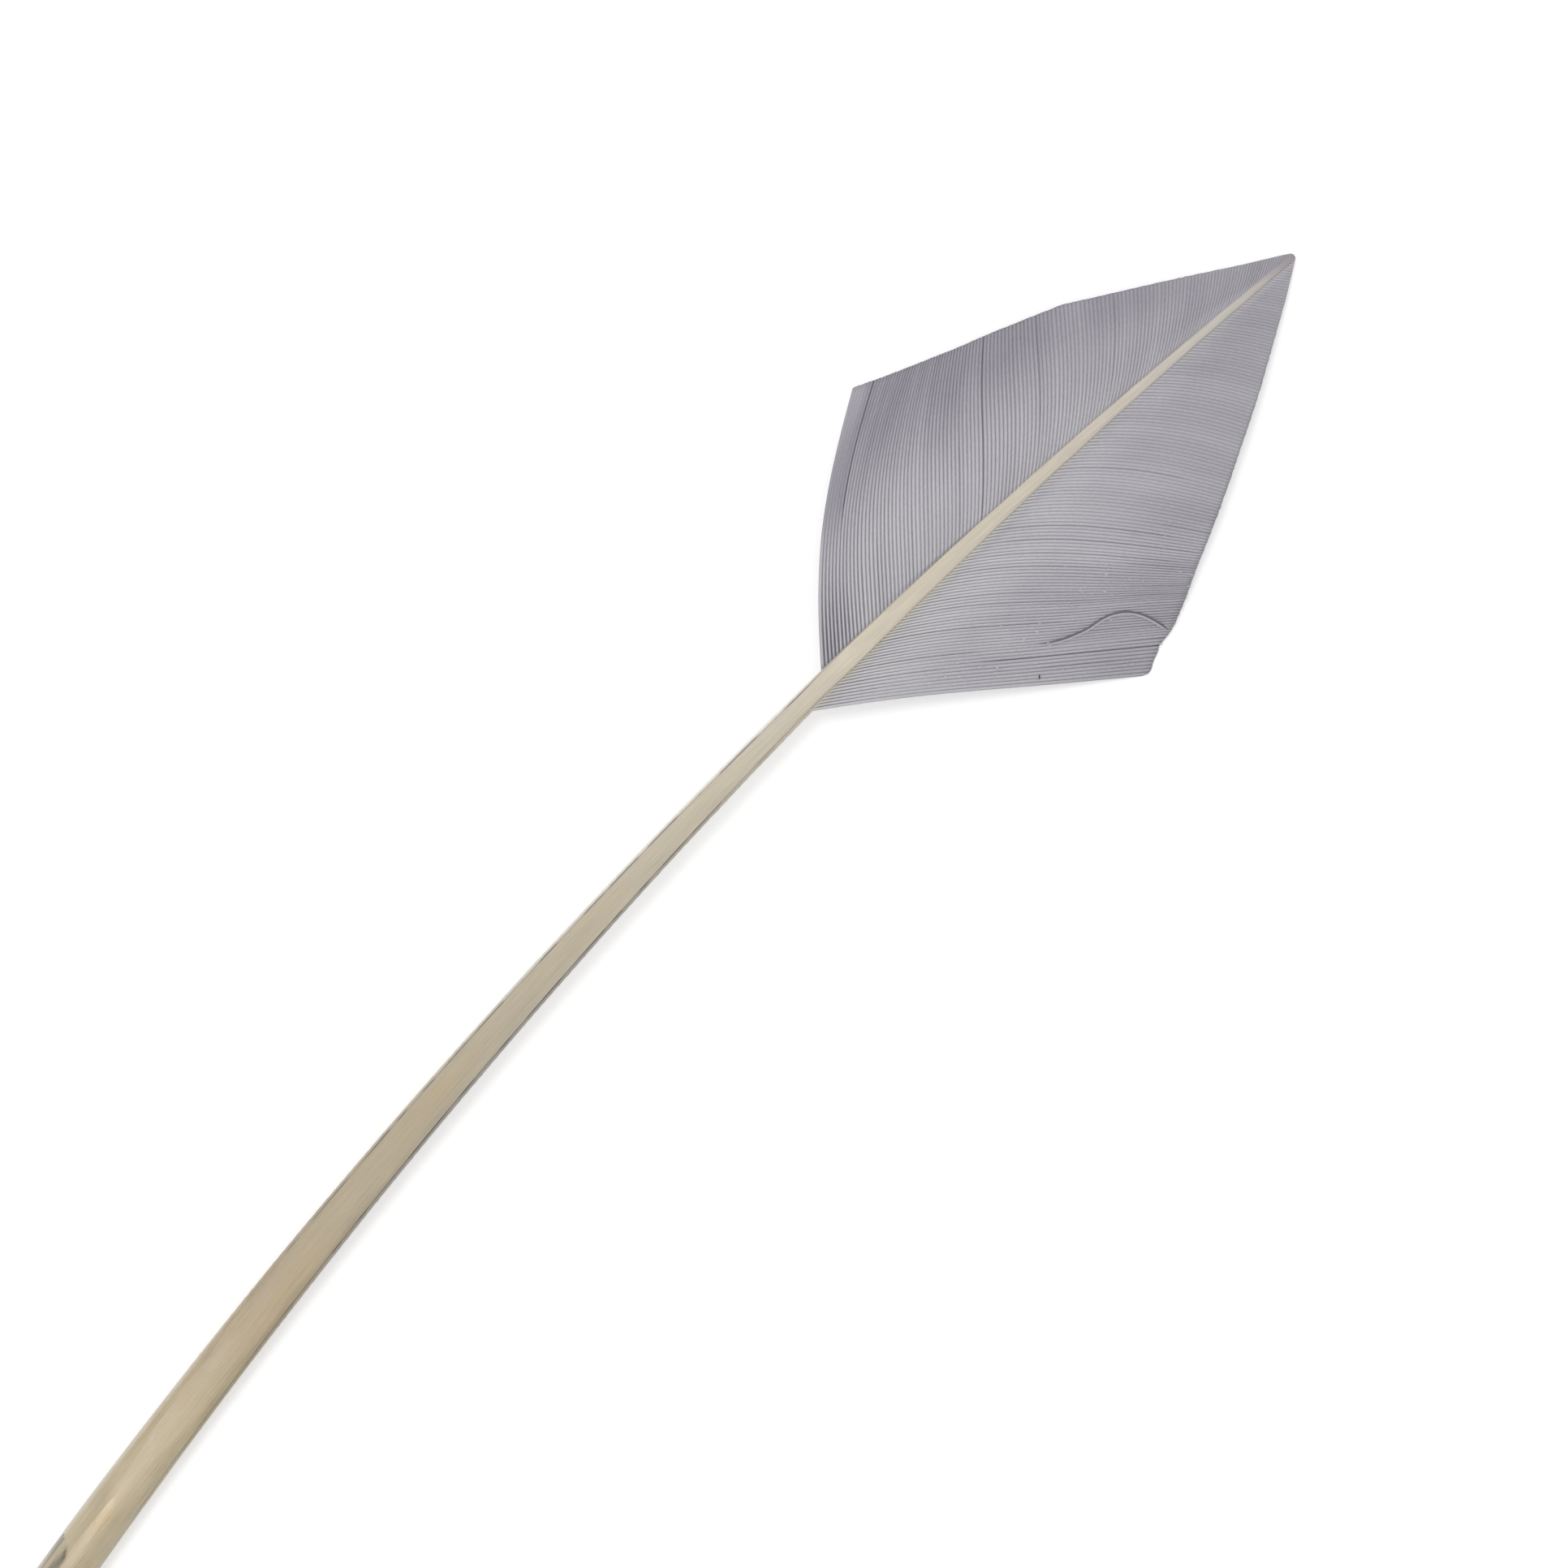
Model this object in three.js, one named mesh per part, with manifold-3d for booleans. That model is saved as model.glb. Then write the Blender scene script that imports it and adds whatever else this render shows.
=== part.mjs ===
// A turkey's wing quill that lies upper side up: a bare shaft with a trimmed arrowhead of vane at its tip.
// Millimetres. +X runs from the quill's blunt end to the tip, +Y to the left vane, +Z up.
// The origin is on the surface that the feather lies on, in the middle of the flat under the quill's end.
import * as THREE from "three";
import { mergeVertices } from "three/addons/utils/BufferGeometryUtils.js";
import Module from "manifold-3d";

// Shaft, seen from above
const buttX = -11;
const tipX = 283.7;
const bow = 11.2;
const tipWidth = 0.9;
const widthPerMm = 0.0253;
const maxWidth = 7.2;
const taperLength = 60;
const buttNarrowing = 0.34;
const noseLength = 3;

// Shaft, seen from the side
const calamusDepth = 1;
const rachisDepth = 0.85;
const tipDepth = 0.62;
const arch = 6;
const tipClearance = 0.4;
const restHalf = 7;
const restCut = 0.2;
const archPeak = 27 / 4;

// Shaft's section: round in the calamus, square-shouldered with a groove below in the rachis
const calamusEndX = 38;
const rachisStartX = 66;
const shoulderPower = 2.7;
const ledge = 0.45;
const ledgeShare = 0.14;
const ledgeHeight = 0.38;
const grooveShare = 0.24;
const shaftSides = 22;
const noseSteps = 4;
const noseStart = 0.35;
const shaftSteps = 50;

// Vanes: each value pair is [at the first barb, at the tip]
const locks = 34;
const barbSteps = 7;
const angleReach = 40;
const vaneThickness = 0.36;
const lockRidge = 0.32;
const lockNotch = 0.2;
const notchFade = [3, 9];
const ridgeFade = 6;
const rootOverlap = 0.3;
const attachHeight = 0.66;
const droopPower = 1.7;
const pathStep = 0.5;
const tipMargin = 0.4;

const leftVane = {
  side: 1,
  rootX: 196.8,
  rootAngle: [51, 28],
  midAngle: [39.2, 60],
  farAngle: [27.5, 40],
  reach: 40.5,
  cut: [[230.6, 31.6], [257.7, 17.9], [284.2, -1.4]],
};
const rightVane = {
  side: -1,
  rootX: 191.1,
  rootAngle: [35, 43.5],
  midAngle: [39.7, 62],
  farAngle: [39, 60],
  reach: 46.5,
  cut: [[227.8, -25.0], [234.8, -23.2], [251.1, -16.9], [267.8, -9.85], [284.2, -1.8]],
};

const quillColour = 0xcdbfa6;

const mix = THREE.MathUtils.lerp;
const smooth = THREE.MathUtils.smoothstep;
const clamp = THREE.MathUtils.clamp;
const rad = THREE.MathUtils.degToRad;

// Centreline: a shallow parabola over the whole length, which passes over the origin.
function bowAt(x) {
  const q = (x - buttX) / (tipX - buttX);
  return 4 * bow * q * (1 - q);
}

function shaftY(x) {
  return bowAt(x) - bowAt(0);
}

function shaftHeading(x) {
  const q = (x - buttX) / (tipX - buttX);
  return Math.atan((4 * bow * (1 - 2 * q)) / (tipX - buttX));
}

// Full width: it grows evenly from the tip, then the calamus narrows to its end.
function shaftWidth(x) {
  const grown = Math.min(tipWidth + widthPerMm * (tipX - x), maxWidth);
  const back = clamp((buttX + taperLength - x) / taperLength, 0, 1);
  return grown * (1 - buttNarrowing * back * back);
}

function shaftDepth(x) {
  const rachis = mix(rachisDepth, tipDepth, smooth(x, rachisStartX, tipX));
  return shaftWidth(x) * mix(calamusDepth, rachis, smooth(x, calamusEndX, rachisStartX));
}

// Height of the shaft's underside: flat near the quill's end, then an arch that falls again towards the tip.
// t * t * (1 - t) peaks at 1 / archPeak.
function undersideZ(x) {
  const t = clamp((x - restHalf) / (tipX - restHalf), 0, 1);
  return -restCut + arch * archPeak * t * t * (1 - t) + (tipClearance + restCut) * t * t;
}

// Point i of the ring round the shaft at x. Point 0 is the bottom, where the rachis has its groove.
function shaftPoint(x, i, scale) {
  const angle = -Math.PI / 2 + (2 * Math.PI * i) / shaftSides;
  const rachis = smooth(x, calamusEndX, rachisStartX);
  const power = 2 / mix(2, shoulderPower, rachis);
  const halfWidth = shaftWidth(x) / 2;
  const halfDepth = shaftDepth(x) / 2;
  const c = Math.cos(angle);
  const s = Math.sin(angle);
  let side = Math.sign(c) * Math.abs(c) ** power * halfWidth;
  let height = Math.sign(s) * Math.abs(s) ** power * halfDepth;
  if (height > ledgeHeight * halfDepth) {
    const step = Math.min(ledge, ledgeShare * 2 * halfWidth) * rachis;
    side *= 1 - step / halfWidth;
  }
  if (i === 0) height += grooveShare * 2 * halfDepth * rachis;
  const heading = shaftHeading(x);
  return new THREE.Vector3(
    x - Math.sin(heading) * side * scale,
    shaftY(x) + Math.cos(heading) * side * scale,
    Math.max(undersideZ(x) + halfDepth + height * scale, 0),
  );
}

// Joins rings of points, all with the same count, into one closed surface with a fan on each end.
function closedLoft(rings) {
  const count = rings[0].length;
  const points = rings.flat();
  const faces = [];
  for (let r = 0; r < rings.length - 1; r++) {
    for (let i = 0; i < count; i++) {
      const a = r * count + i;
      const b = r * count + ((i + 1) % count);
      faces.push(a, b, b + count, a, b + count, a + count);
    }
  }
  const last = (rings.length - 1) * count;
  const ends = [rings[0], rings[rings.length - 1]].map((ring) => {
    const middle = ring.reduce((sum, p) => sum.add(p), new THREE.Vector3()).divideScalar(count);
    points.push(middle);
    return points.length - 1;
  });
  for (let i = 0; i < count; i++) {
    const j = (i + 1) % count;
    faces.push(ends[0], j, i, ends[1], last + i, last + j);
  }
  return closedGeometry(points, faces);
}

function closedGeometry(points, faces) {
  const geometry = new THREE.BufferGeometry().setFromPoints(points);
  geometry.setIndex(faces);
  return geometry;
}

function shaft() {
  const stations = [];
  for (let i = 0; i < noseSteps; i++) {
    const turn = ((i + noseStart) / noseSteps) * (Math.PI / 2);
    stations.push([buttX + noseLength * (1 - Math.cos(turn)), Math.sin(turn)]);
  }
  for (let i = 0; i <= shaftSteps; i++) {
    stations.push([mix(buttX + noseLength, tipX, i / shaftSteps), 1]);
  }
  const rings = stations.map(([x, scale]) =>
    Array.from({ length: shaftSides }, (_, i) => shaftPoint(x, i, scale)),
  );
  return closedLoft(rings);
}

// Angle between a barb and the shaft: a quadratic through its values at the root, half way and at angleReach.
function barbAngle(vane, f, v) {
  const w = v / angleReach;
  const [root, mid, far] = [vane.rootAngle, vane.midAngle, vane.farAngle].map(([a, b]) => mix(a, b, f));
  return rad(root * (1 - w) * (1 - 2 * w) + mid * 4 * w * (1 - w) + far * w * (2 * w - 1));
}

// Distance from a point to the nearest of the straight cuts, positive on the shaft's side of them all.
function insideCuts({ cut, side }, x, y) {
  const distances = cut.slice(1).map(([bx, by], i) => {
    const [ax, ay] = cut[i];
    const cross = (bx - ax) * (y - ay) - (by - ay) * (x - ax);
    return (-side * cross) / Math.hypot(bx - ax, by - ay);
  });
  return Math.min(...distances);
}

// The barb that leaves the shaft at share f of the vane: points from the shaft's middle line to the scissor cut.
function barbPath(vane, f) {
  const rootX = mix(vane.rootX, tipX - tipMargin, f);
  const heading = shaftHeading(rootX);
  const path = [[rootX, shaftY(rootX)]];
  let length = 0;
  let before = insideCuts(vane, ...path[0]);
  while (before > 0) {
    const turn = heading + vane.side * barbAngle(vane, f, length + pathStep / 2);
    const [x, y] = path[path.length - 1];
    const next = [x + Math.cos(turn) * pathStep, y + Math.sin(turn) * pathStep];
    const after = insideCuts(vane, ...next);
    length += after > 0 ? pathStep : (pathStep * before) / (before - after);
    path.push(next);
    before = after;
  }
  return { path, rootX, length };
}

// Point at distance v along a barb. A value below 0 runs straight back past the shaft's middle line.
function alongBarb({ path }, v) {
  const i = clamp(Math.floor(v / pathStep), 0, path.length - 2);
  const share = v / pathStep - i;
  return [mix(path[i][0], path[i + 1][0], share), mix(path[i][1], path[i + 1][1], share)];
}

// One vane: a thin sheet with a ridge along each lock, which droops from the shaft to the surface.
function vaneSheet(vane) {
  const tops = [];
  const bottoms = [];
  for (let line = 0; line <= 2 * locks; line++) {
    const barb = barbPath(vane, line / (2 * locks));
    const crest = line % 2;
    const reach = barb.length - (crest ? 0 : lockNotch * smooth(barb.length, ...notchFade));
    const attach = undersideZ(barb.rootX) + attachHeight * shaftDepth(barb.rootX);
    for (let step = 0; step <= barbSteps; step++) {
      const v = mix(-rootOverlap, reach, step / barbSteps);
      const [x, y] = alongBarb(barb, v);
      const fall = Math.min(Math.max(v, 0) / vane.reach, 1) ** droopPower;
      const middle = mix(attach, vaneThickness / 2, fall) + crest * lockRidge * smooth(v, 0, ridgeFade);
      tops.push(new THREE.Vector3(x, y, middle + vaneThickness / 2));
      bottoms.push(new THREE.Vector3(x, y, middle - vaneThickness / 2));
    }
  }
  return closedSheet(tops, bottoms, barbSteps + 1, vane.side);
}

// Closes two grids of points, a top and a bottom, into one body. Rows run along the barbs.
function closedSheet(tops, bottoms, rowLength, side) {
  const rows = tops.length / rowLength;
  const points = [...tops, ...bottoms];
  const under = tops.length;
  const faces = [];
  const quad = (a, b, c, d) => (side > 0 ? faces.push(a, b, c, a, c, d) : faces.push(a, c, b, a, d, c));
  for (let r = 0; r < rows - 1; r++) {
    for (let i = 0; i < rowLength - 1; i++) {
      const a = r * rowLength + i;
      const b = a + rowLength;
      quad(a, b, b + 1, a + 1);
      quad(under + a, under + a + 1, under + b + 1, under + b);
    }
    const root = r * rowLength;
    const end = root + rowLength - 1;
    quad(root, under + root, under + root + rowLength, root + rowLength);
    quad(end, end + rowLength, under + end + rowLength, under + end);
  }
  const lastRow = (rows - 1) * rowLength;
  for (let i = 0; i < rowLength - 1; i++) {
    quad(i, i + 1, under + i + 1, under + i);
    quad(lastRow + i, under + lastRow + i, under + lastRow + i + 1, lastRow + i + 1);
  }
  return closedGeometry(points, faces);
}

const wasm = await Module();
wasm.setup();

function solid(geometry) {
  const merged = mergeVertices(geometry, 1e-4);
  return new wasm.Manifold(
    new wasm.Mesh({
      numProp: 3,
      vertProperties: new Float32Array(merged.attributes.position.array),
      triVerts: new Uint32Array(merged.index.array),
    }),
  );
}

function geometryOf(manifold) {
  const mesh = manifold.getMesh();
  const geometry = new THREE.BufferGeometry();
  geometry.setAttribute("position", new THREE.BufferAttribute(mesh.vertProperties, 3));
  geometry.setIndex(new THREE.BufferAttribute(mesh.triVerts, 1));
  return geometry.toNonIndexed();
}

const joined = [leftVane, rightVane].reduce(
  (body, vane) => body.add(solid(vaneSheet(vane))),
  solid(shaft()),
);
const geometry = geometryOf(joined);
geometry.computeVertexNormals();
const material = new THREE.MeshStandardMaterial({ color: quillColour, roughness: 0.6, metalness: 0 });
const feather = new THREE.Mesh(geometry, material);
feather.name = "feather";

const group = new THREE.Group();
group.add(feather);

export default group;
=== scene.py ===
import math

import bpy
import numpy as np
from mathutils import Matrix


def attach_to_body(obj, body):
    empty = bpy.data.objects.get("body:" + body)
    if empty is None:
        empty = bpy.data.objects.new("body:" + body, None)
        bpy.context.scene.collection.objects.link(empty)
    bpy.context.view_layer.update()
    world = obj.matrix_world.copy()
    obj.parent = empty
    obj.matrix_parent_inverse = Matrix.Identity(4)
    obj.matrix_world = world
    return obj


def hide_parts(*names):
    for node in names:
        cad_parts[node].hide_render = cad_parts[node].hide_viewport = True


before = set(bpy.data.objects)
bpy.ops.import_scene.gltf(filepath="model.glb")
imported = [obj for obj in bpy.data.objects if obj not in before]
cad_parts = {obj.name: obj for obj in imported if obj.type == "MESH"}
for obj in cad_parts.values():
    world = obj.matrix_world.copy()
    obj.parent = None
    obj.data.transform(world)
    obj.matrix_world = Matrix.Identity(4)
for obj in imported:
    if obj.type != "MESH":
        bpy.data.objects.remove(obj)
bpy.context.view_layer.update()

mm = 0.001  # the scene is in metres, and every size below is in millimetres


def smooth(x, low, high):  # 3t^2 - 2t^3, where t runs from 0 at low to 1 at high
    t = np.clip((x - low) / (high - low), 0, 1)
    return t * t * (3 - 2 * t)


def mix(a, b, t):  # a + (b - a) t
    return a + (b - a) * t


def bell(x, middle, width):  # exp(-((x - middle) / width)^2)
    return np.exp(-(((x - middle) / width) ** 2))


def waves(x, spacing, seed):  # random heights from -1 to 1, one spacing apart, joined by smooth steps
    knots = np.random.default_rng(seed).uniform(-1, 1, 4096)
    place = np.asarray(x, float) / spacing + 1024
    i = np.floor(place).astype(int)
    t = place - i
    return mix(knots[i % 4096], knots[(i + 1) % 4096], t * t * (3 - 2 * t))


def readTable(rows, at):  # straight lines through the table's (place, value) rows
    return np.interp(at, *np.array(rows).T)


def ripples(x, y, spacingX, spacingY, seed):  # like waves, on a grid of random heights, smooth both ways
    knots = np.random.default_rng(seed).uniform(-1, 1, (512, 512))
    px, py = np.broadcast_arrays(np.asarray(x, float) / spacingX + 64, np.asarray(y, float) / spacingY + 64)
    i, j = np.floor(px).astype(int), np.floor(py).astype(int)
    tx, ty = smooth(px - i, 0, 1), smooth(py - j, 0, 1)
    i, j, iNext, jNext = i % 512, j % 512, (i + 1) % 512, (j + 1) % 512
    return mix(mix(knots[i, j], knots[iNext, j], tx), mix(knots[i, jNext], knots[iNext, jNext], tx), ty)


def smoothRoute(points, count):  # Catmull-Rom curve through the points
    p = np.concatenate([[2 * points[0] - points[1]], points, [2 * points[-1] - points[-2]]])
    place = np.linspace(0, len(points) - 1 - 1e-6, count)
    i = np.floor(place).astype(int)
    t = (place - i)[:, None]
    a, b, c, d = p[i], p[i + 1], p[i + 2], p[i + 3]
    return 0.5 * (2 * b + (c - a) * t + (2 * a - 5 * b + 4 * c - d) * t ** 2 + (3 * b - a - 3 * c + d) * t ** 3)


def gridFaces(rows, columns, wrap=False):  # quad (r, c), (r, c+1), (r+1, c+1), (r+1, c) of each grid cell
    r = np.arange(rows - 1)[:, None]
    c = np.arange(columns if wrap else columns - 1)[None, :]
    n = (c + 1) % columns
    return np.stack(np.broadcast_arrays(r * columns + c, r * columns + n, (r + 1) * columns + n,
                                        (r + 1) * columns + c), -1).reshape(-1, 4)


def gridUvs(rows, columns, wrap, box):  # the same cells' corners, spread evenly over box = (u0, v0, u1, v1)
    r = np.arange(rows - 1)[:, None]
    c = np.arange(columns if wrap else columns - 1)[None, :]
    across = columns if wrap else columns - 1
    u = [mix(box[0], box[2], (c + k) / across) for k in (0, 1, 1, 0)]
    v = [mix(box[1], box[3], (r + k) / (rows - 1)) for k in (0, 0, 1, 1)]
    return np.stack([np.stack(np.broadcast_arrays(a, b), -1) for a, b in zip(u, v)], 2).reshape(-1, 4, 2)


def tubeFaces(rows, columns, gap, cap):
    # quads round the tube, and a fan at each end to one of the last two points; in the UVs, gap is what the quads
    # leave free at the bottom and the top, and cap is what the fans take up of it
    ring = np.arange(columns)
    after = (ring + 1) % columns
    count = rows * columns
    first = np.stack([np.full(columns, count), after, ring], -1)
    last = np.stack([np.full(columns, count + 1), count - columns + ring, count - columns + after], -1)
    fan = np.stack([np.stack([(ring + 0.5) / columns, 0 * ring], -1),
                    np.stack([(ring + 1) / columns, 0 * ring + 1], -1),
                    np.stack([ring / columns, 0 * ring + 1], -1)], 1)
    uvs = [gridUvs(rows, columns, True, (0, gap, 1, 1 - gap)), fan * [1, cap], 1 - fan[:, [0, 2, 1]] * [1, cap]]
    return [gridFaces(rows, columns, wrap=True), first, last], uvs


def sheetFaces(rows, columns, flip):
    # a closed sheet: quads of the upper grid, of the lower grid, whose points come after it, and round the border
    count = rows * columns
    grid = np.arange(count).reshape(rows, columns)
    border = np.concatenate([grid[0, :-1], grid[:-1, -1], grid[-1, :0:-1], grid[:0:-1, 0]])
    after = np.roll(border, -1)
    upper = gridFaces(rows, columns)
    faces = np.concatenate([upper, upper[:, ::-1] + count,
                            np.stack([after, border, border + count, after + count], -1)])
    step = 1 / len(border)
    lap = np.arange(len(border)) / len(border)
    rim = np.stack([np.stack([lap + a, 0 * lap + b], -1)
                    for a, b in ((step, 0.488), (0, 0.488), (0, 0.512), (step, 0.512))], 1)
    uvs = np.concatenate([gridUvs(rows, columns, False, (0, 0, 1, 0.48)),
                          gridUvs(rows, columns, False, (0, 0.52, 1, 1))[:, ::-1], rim])
    return ([faces[:, ::-1]], [uvs[:, ::-1]]) if flip else ([faces], [uvs])


def addToScene(name, data):
    thing = bpy.data.objects.new(name, data)
    bpy.context.scene.collection.objects.link(thing)
    return thing


def meshPiece(name, points, faces, uvs, values, material):
    # faces and uvs are lists of arrays, one for each count of corners; values are floats for each point
    mesh = bpy.data.meshes.new(name)
    corners = np.concatenate([f.ravel() for f in faces]).astype(np.int32)
    totals = np.concatenate([np.full(len(f), f.shape[1]) for f in faces]).astype(np.int32)
    mesh.vertices.add(len(points))
    mesh.vertices.foreach_set("co", (points * mm).astype(np.float32).ravel())
    mesh.loops.add(len(corners))
    mesh.loops.foreach_set("vertex_index", corners)
    mesh.polygons.add(len(totals))
    mesh.polygons.foreach_set("loop_start", (np.cumsum(totals) - totals).astype(np.int32))
    mesh.polygons.foreach_set("use_smooth", np.ones(len(totals), bool))
    layer = mesh.uv_layers.new(name="OFBake")
    layer.uv.foreach_set("vector", np.concatenate([u.reshape(-1, 2) for u in uvs]).astype(np.float32).ravel())
    for key, value in values.items():
        attribute = mesh.attributes.new(key, "FLOAT", "POINT")
        attribute.data.foreach_set("value", np.asarray(value, np.float32).ravel())
    mesh.update(calc_edges=True)
    mesh.validate()
    mesh.materials.append(material)
    piece = addToScene(name, mesh)
    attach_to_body(piece, "root")
    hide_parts("feather")
    print(f"{name}: {len(points)} points, {int((totals - 2).sum())} triangles")


def colour(hexValue):  # sRGB hex to linear: ((c + 0.055) / 1.055)^2.4 above 0.04045, else c / 12.92
    parts = np.array([(hexValue >> shift) & 255 for shift in (16, 8, 0)]) / 255
    linear = np.where(parts > 0.04045, ((parts + 0.055) / 1.055) ** 2.4, parts / 12.92)
    return (*[float(p) for p in linear], 1.0)


def addNode(tree, kind, settings=None, sockets=None):
    # settings are the node's own properties; a socket's value is a plain value or another node's output
    node = tree.nodes.new(kind)
    for key, value in (settings or {}).items():
        setattr(node, key, value)
    for key, value in (sockets or {}).items():
        if isinstance(value, bpy.types.NodeSocket):
            tree.links.new(value, node.inputs[key])
        else:
            node.inputs[key].default_value = value
    return node


def addMath(tree, operation, a, b):
    return addNode(tree, "ShaderNodeMath", {"operation": operation}, {0: a, 1: b}).outputs[0]


def addStretch(tree, vector, factors):  # each axis times its own factor
    return addNode(tree, "ShaderNodeVectorMath", {"operation": "MULTIPLY"}, {0: vector, 1: factors}).outputs[0]


def addTone(tree, base, tone):  # a colour times one number
    return addNode(tree, "ShaderNodeVectorMath", {"operation": "SCALE"}, {0: base, "Scale": tone}).outputs[0]


def addRange(tree, value, before, after, kind="LINEAR"):  # from one (low, high) to the other, and never past it
    return addNode(tree, "ShaderNodeMapRange", {"interpolation_type": kind}, {
        "Value": value, "From Min": before[0], "From Max": before[1], "To Min": after[0],
        "To Max": after[1]}).outputs["Result"]


def addNoise(tree, place, detail, roughness=0.5, scale=1.0):
    return addNode(tree, "ShaderNodeTexNoise", {}, {"Vector": place, "Scale": scale, "Detail": detail,
                                                    "Roughness": roughness}).outputs["Fac"]


def addMix(tree, factor, a, b, blend="MIX"):
    return addNode(tree, "ShaderNodeMix", {"data_type": "RGBA", "blend_type": blend},
                   {"Factor": factor, 6: a, 7: b}).outputs[2]


def addBump(tree, shader, height, strength, distance):
    bump = addNode(tree, "ShaderNodeBump", {}, {"Height": height, "Strength": strength, "Distance": distance})
    tree.links.new(bump.outputs[0], shader.inputs["Normal"])


def readValues(tree, names):  # the floats that meshPiece stored on each point
    return {name: addNode(tree, "ShaderNodeAttribute", {"attribute_name": name}).outputs["Fac"] for name in names}


def layerColours(tree, base, place, look, names):  # each name's value mixes in the look's colour of that name
    for name in names:
        base = addMix(tree, place[name], base, colour(look[name + "Colour"]))
    return base


def setRamp(node, stops):  # stops are (place, colour)
    elements = node.color_ramp.elements
    while len(elements) < len(stops):
        elements.new(0.5)
    for element, (place, value) in zip(elements, stops):
        element.position = place
        element.color = value


def newMaterial(name):
    material = bpy.data.materials.new(name)
    material.use_nodes = True
    tree = material.node_tree
    return material, tree, tree.nodes["Principled BSDF"]


keratinIor = 1.54
noiseRange = (0.3, 0.7)  # nearly all of a noise texture's values


horn = {
    "start": -15.0, "span": 300.0,  # mm of shaft that the colour ramp covers
    "tones": [(-15, 0xB0A48C), (20, 0xB0A48A), (50, 0xB0A389), (66, 0xAB9D81), (80, 0xA5967D),
              (95, 0xA79A83), (120, 0xA49984), (145, 0xA89F8C), (185, 0xB8AF9E), (205, 0xC0B7A7),
              (228, 0xBAB2A2), (250, 0xB9B1A5), (262, 0xB7B0A7), (272, 0xB4AFA8), (278, 0xAAA3A0),
              (281, 0x9D959A), (283, 0x8E8990)],
    # the crease colour is painted shade in each ledge's crease and on the quill's flank beside its highlight; it
    # also marks the peel's dark rim and its torn streaks
    # the lip colour is a painted highlight on each ledge's raised rim
    # the wall colour is painted shade on the right wall, and the grey of the right side near the tip; the pale
    # wall colour is painted light on the left wall and a painted reflection of the sky along the quill's left
    # edge
    "creaseColour": 0x5F5A52, "wallColour": 0x959391, "litWallColour": 0xD6D4D0, "lipColour": 0xC2BAA8,
    "amberColour": 0xB0925A, "peelColour": 0x9A958A,
    "glintColour": 0xFDF5EA,  # its gloss comes partly from inside the yellowish horn
    "streakWidth": 0.24,  # mm between the fine lengthwise fibres, drawn a few times coarser than real keratin
    "streakLength": 7.0, "cloudStretch": (1.1, 0.07, 1),
    "fibreTones": (0.88, 1.1), "cloudTones": (0.93, 1.06),
    "quillRoughness": 0.3, "rachisRoughness": 0.52,
    "fibreRoughness": (-0.06, 0.1), "cloudRoughness": (-0.06, 0.14),  # added to it
    "bump": (0.5, 0.00008),  # strength, and height in metres
}


def makeHorn():
    # Feather keratin, like fingernail: grown in lengthwise fibres, so it has a satin gloss that runs along it,
    # faint streaks and amber patches where it is thick. Along the edges where the barbs were pulled off, painted
    # shade darkens the creases and the right wall, and painted light brightens the left wall and the raised rims.
    material, tree, shader = newMaterial("quillHorn")
    place = readValues(tree, ("along", "around", "crease", "wall", "litWall", "lip", "amber", "peel", "gloss"))
    share = addRange(tree, place["along"], (horn["start"], horn["start"] + horn["span"]), (0, 1))
    ramp = addNode(tree, "ShaderNodeValToRGB", {}, {"Fac": share})
    setRamp(ramp, [((x - horn["start"]) / horn["span"], colour(c)) for x, c in horn["tones"]])
    grain = addNode(tree, "ShaderNodeCombineXYZ", {}, {
        "X": addMath(tree, "DIVIDE", place["along"], horn["streakLength"]),
        "Y": addMath(tree, "DIVIDE", place["around"], horn["streakWidth"])}).outputs[0]
    fibres = addNoise(tree, grain, 3.0, 0.55)
    clouds = addNoise(tree, addStretch(tree, grain, horn["cloudStretch"]), 2.0)
    tone = addMath(tree, "MULTIPLY", addRange(tree, fibres, noiseRange, horn["fibreTones"]),
                   addRange(tree, clouds, noiseRange, horn["cloudTones"]))
    base = layerColours(tree, addTone(tree, ramp.outputs["Color"], tone), place, horn,
                        ("wall", "litWall", "lip", "peel", "amber", "crease"))
    tree.links.new(base, shader.inputs["Base Color"])
    satin = addRange(tree, place["gloss"], (0, 1), (horn["rachisRoughness"], horn["quillRoughness"]))
    fine = addMath(tree, "ADD", addRange(tree, fibres, noiseRange, horn["fibreRoughness"]),
                   addRange(tree, clouds, (0.35, 0.65), horn["cloudRoughness"]))
    tree.links.new(addMath(tree, "ADD", fine, satin), shader.inputs["Roughness"])
    addBump(tree, shader, fibres, *horn["bump"])
    shader.inputs["IOR"].default_value = keratinIor
    shader.inputs["Specular Tint"].default_value = colour(horn["glintColour"])
    return material


dyed = {
    # the hollow's darker colour is partly the barbules' own and partly painted shade
    "crestColour": 0xADABB0, "valleyColour": 0x66656E,  # a barb's spine, and the hollow between two barbs
    # painted shade where the vane droops towards its edge and beside the fold, under random patches of tone
    "outerShadeColour": 0x969499, "outerShadeWhite": 0xB4B4B4,  # the outer vane is multiplied by the one over the other
    # the cream colour is the barbs' pale undyed roots, and painted light on the stray barb's lower side
    # the root colour is painted shade where the barbs meet the shaft
    # the split colour is painted shade in the gaps of split barbs
    "creamAndLitSideColour": 0xC3BDB2, "spineColour": 0xC9C7C9, "rootColour": 0x5A595C, "splitShadeColour": 0x4B4952,
    "hatchAcross": 2.2, "hatchLength": 0.48,  # spots per barb, and mm along it; barbules are far finer, 0.02 mm
    "cloudStretch": (0.06, 0.035, 1),
    "barbuleTones": (0.9, 1.08), "cloudTones": (0.95, 1.05), "roughness": (0.54, 0.74),
    "bump": (0.4, 0.00005), "sheen": 0.12, "sheenRoughness": 0.4,
}


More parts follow.
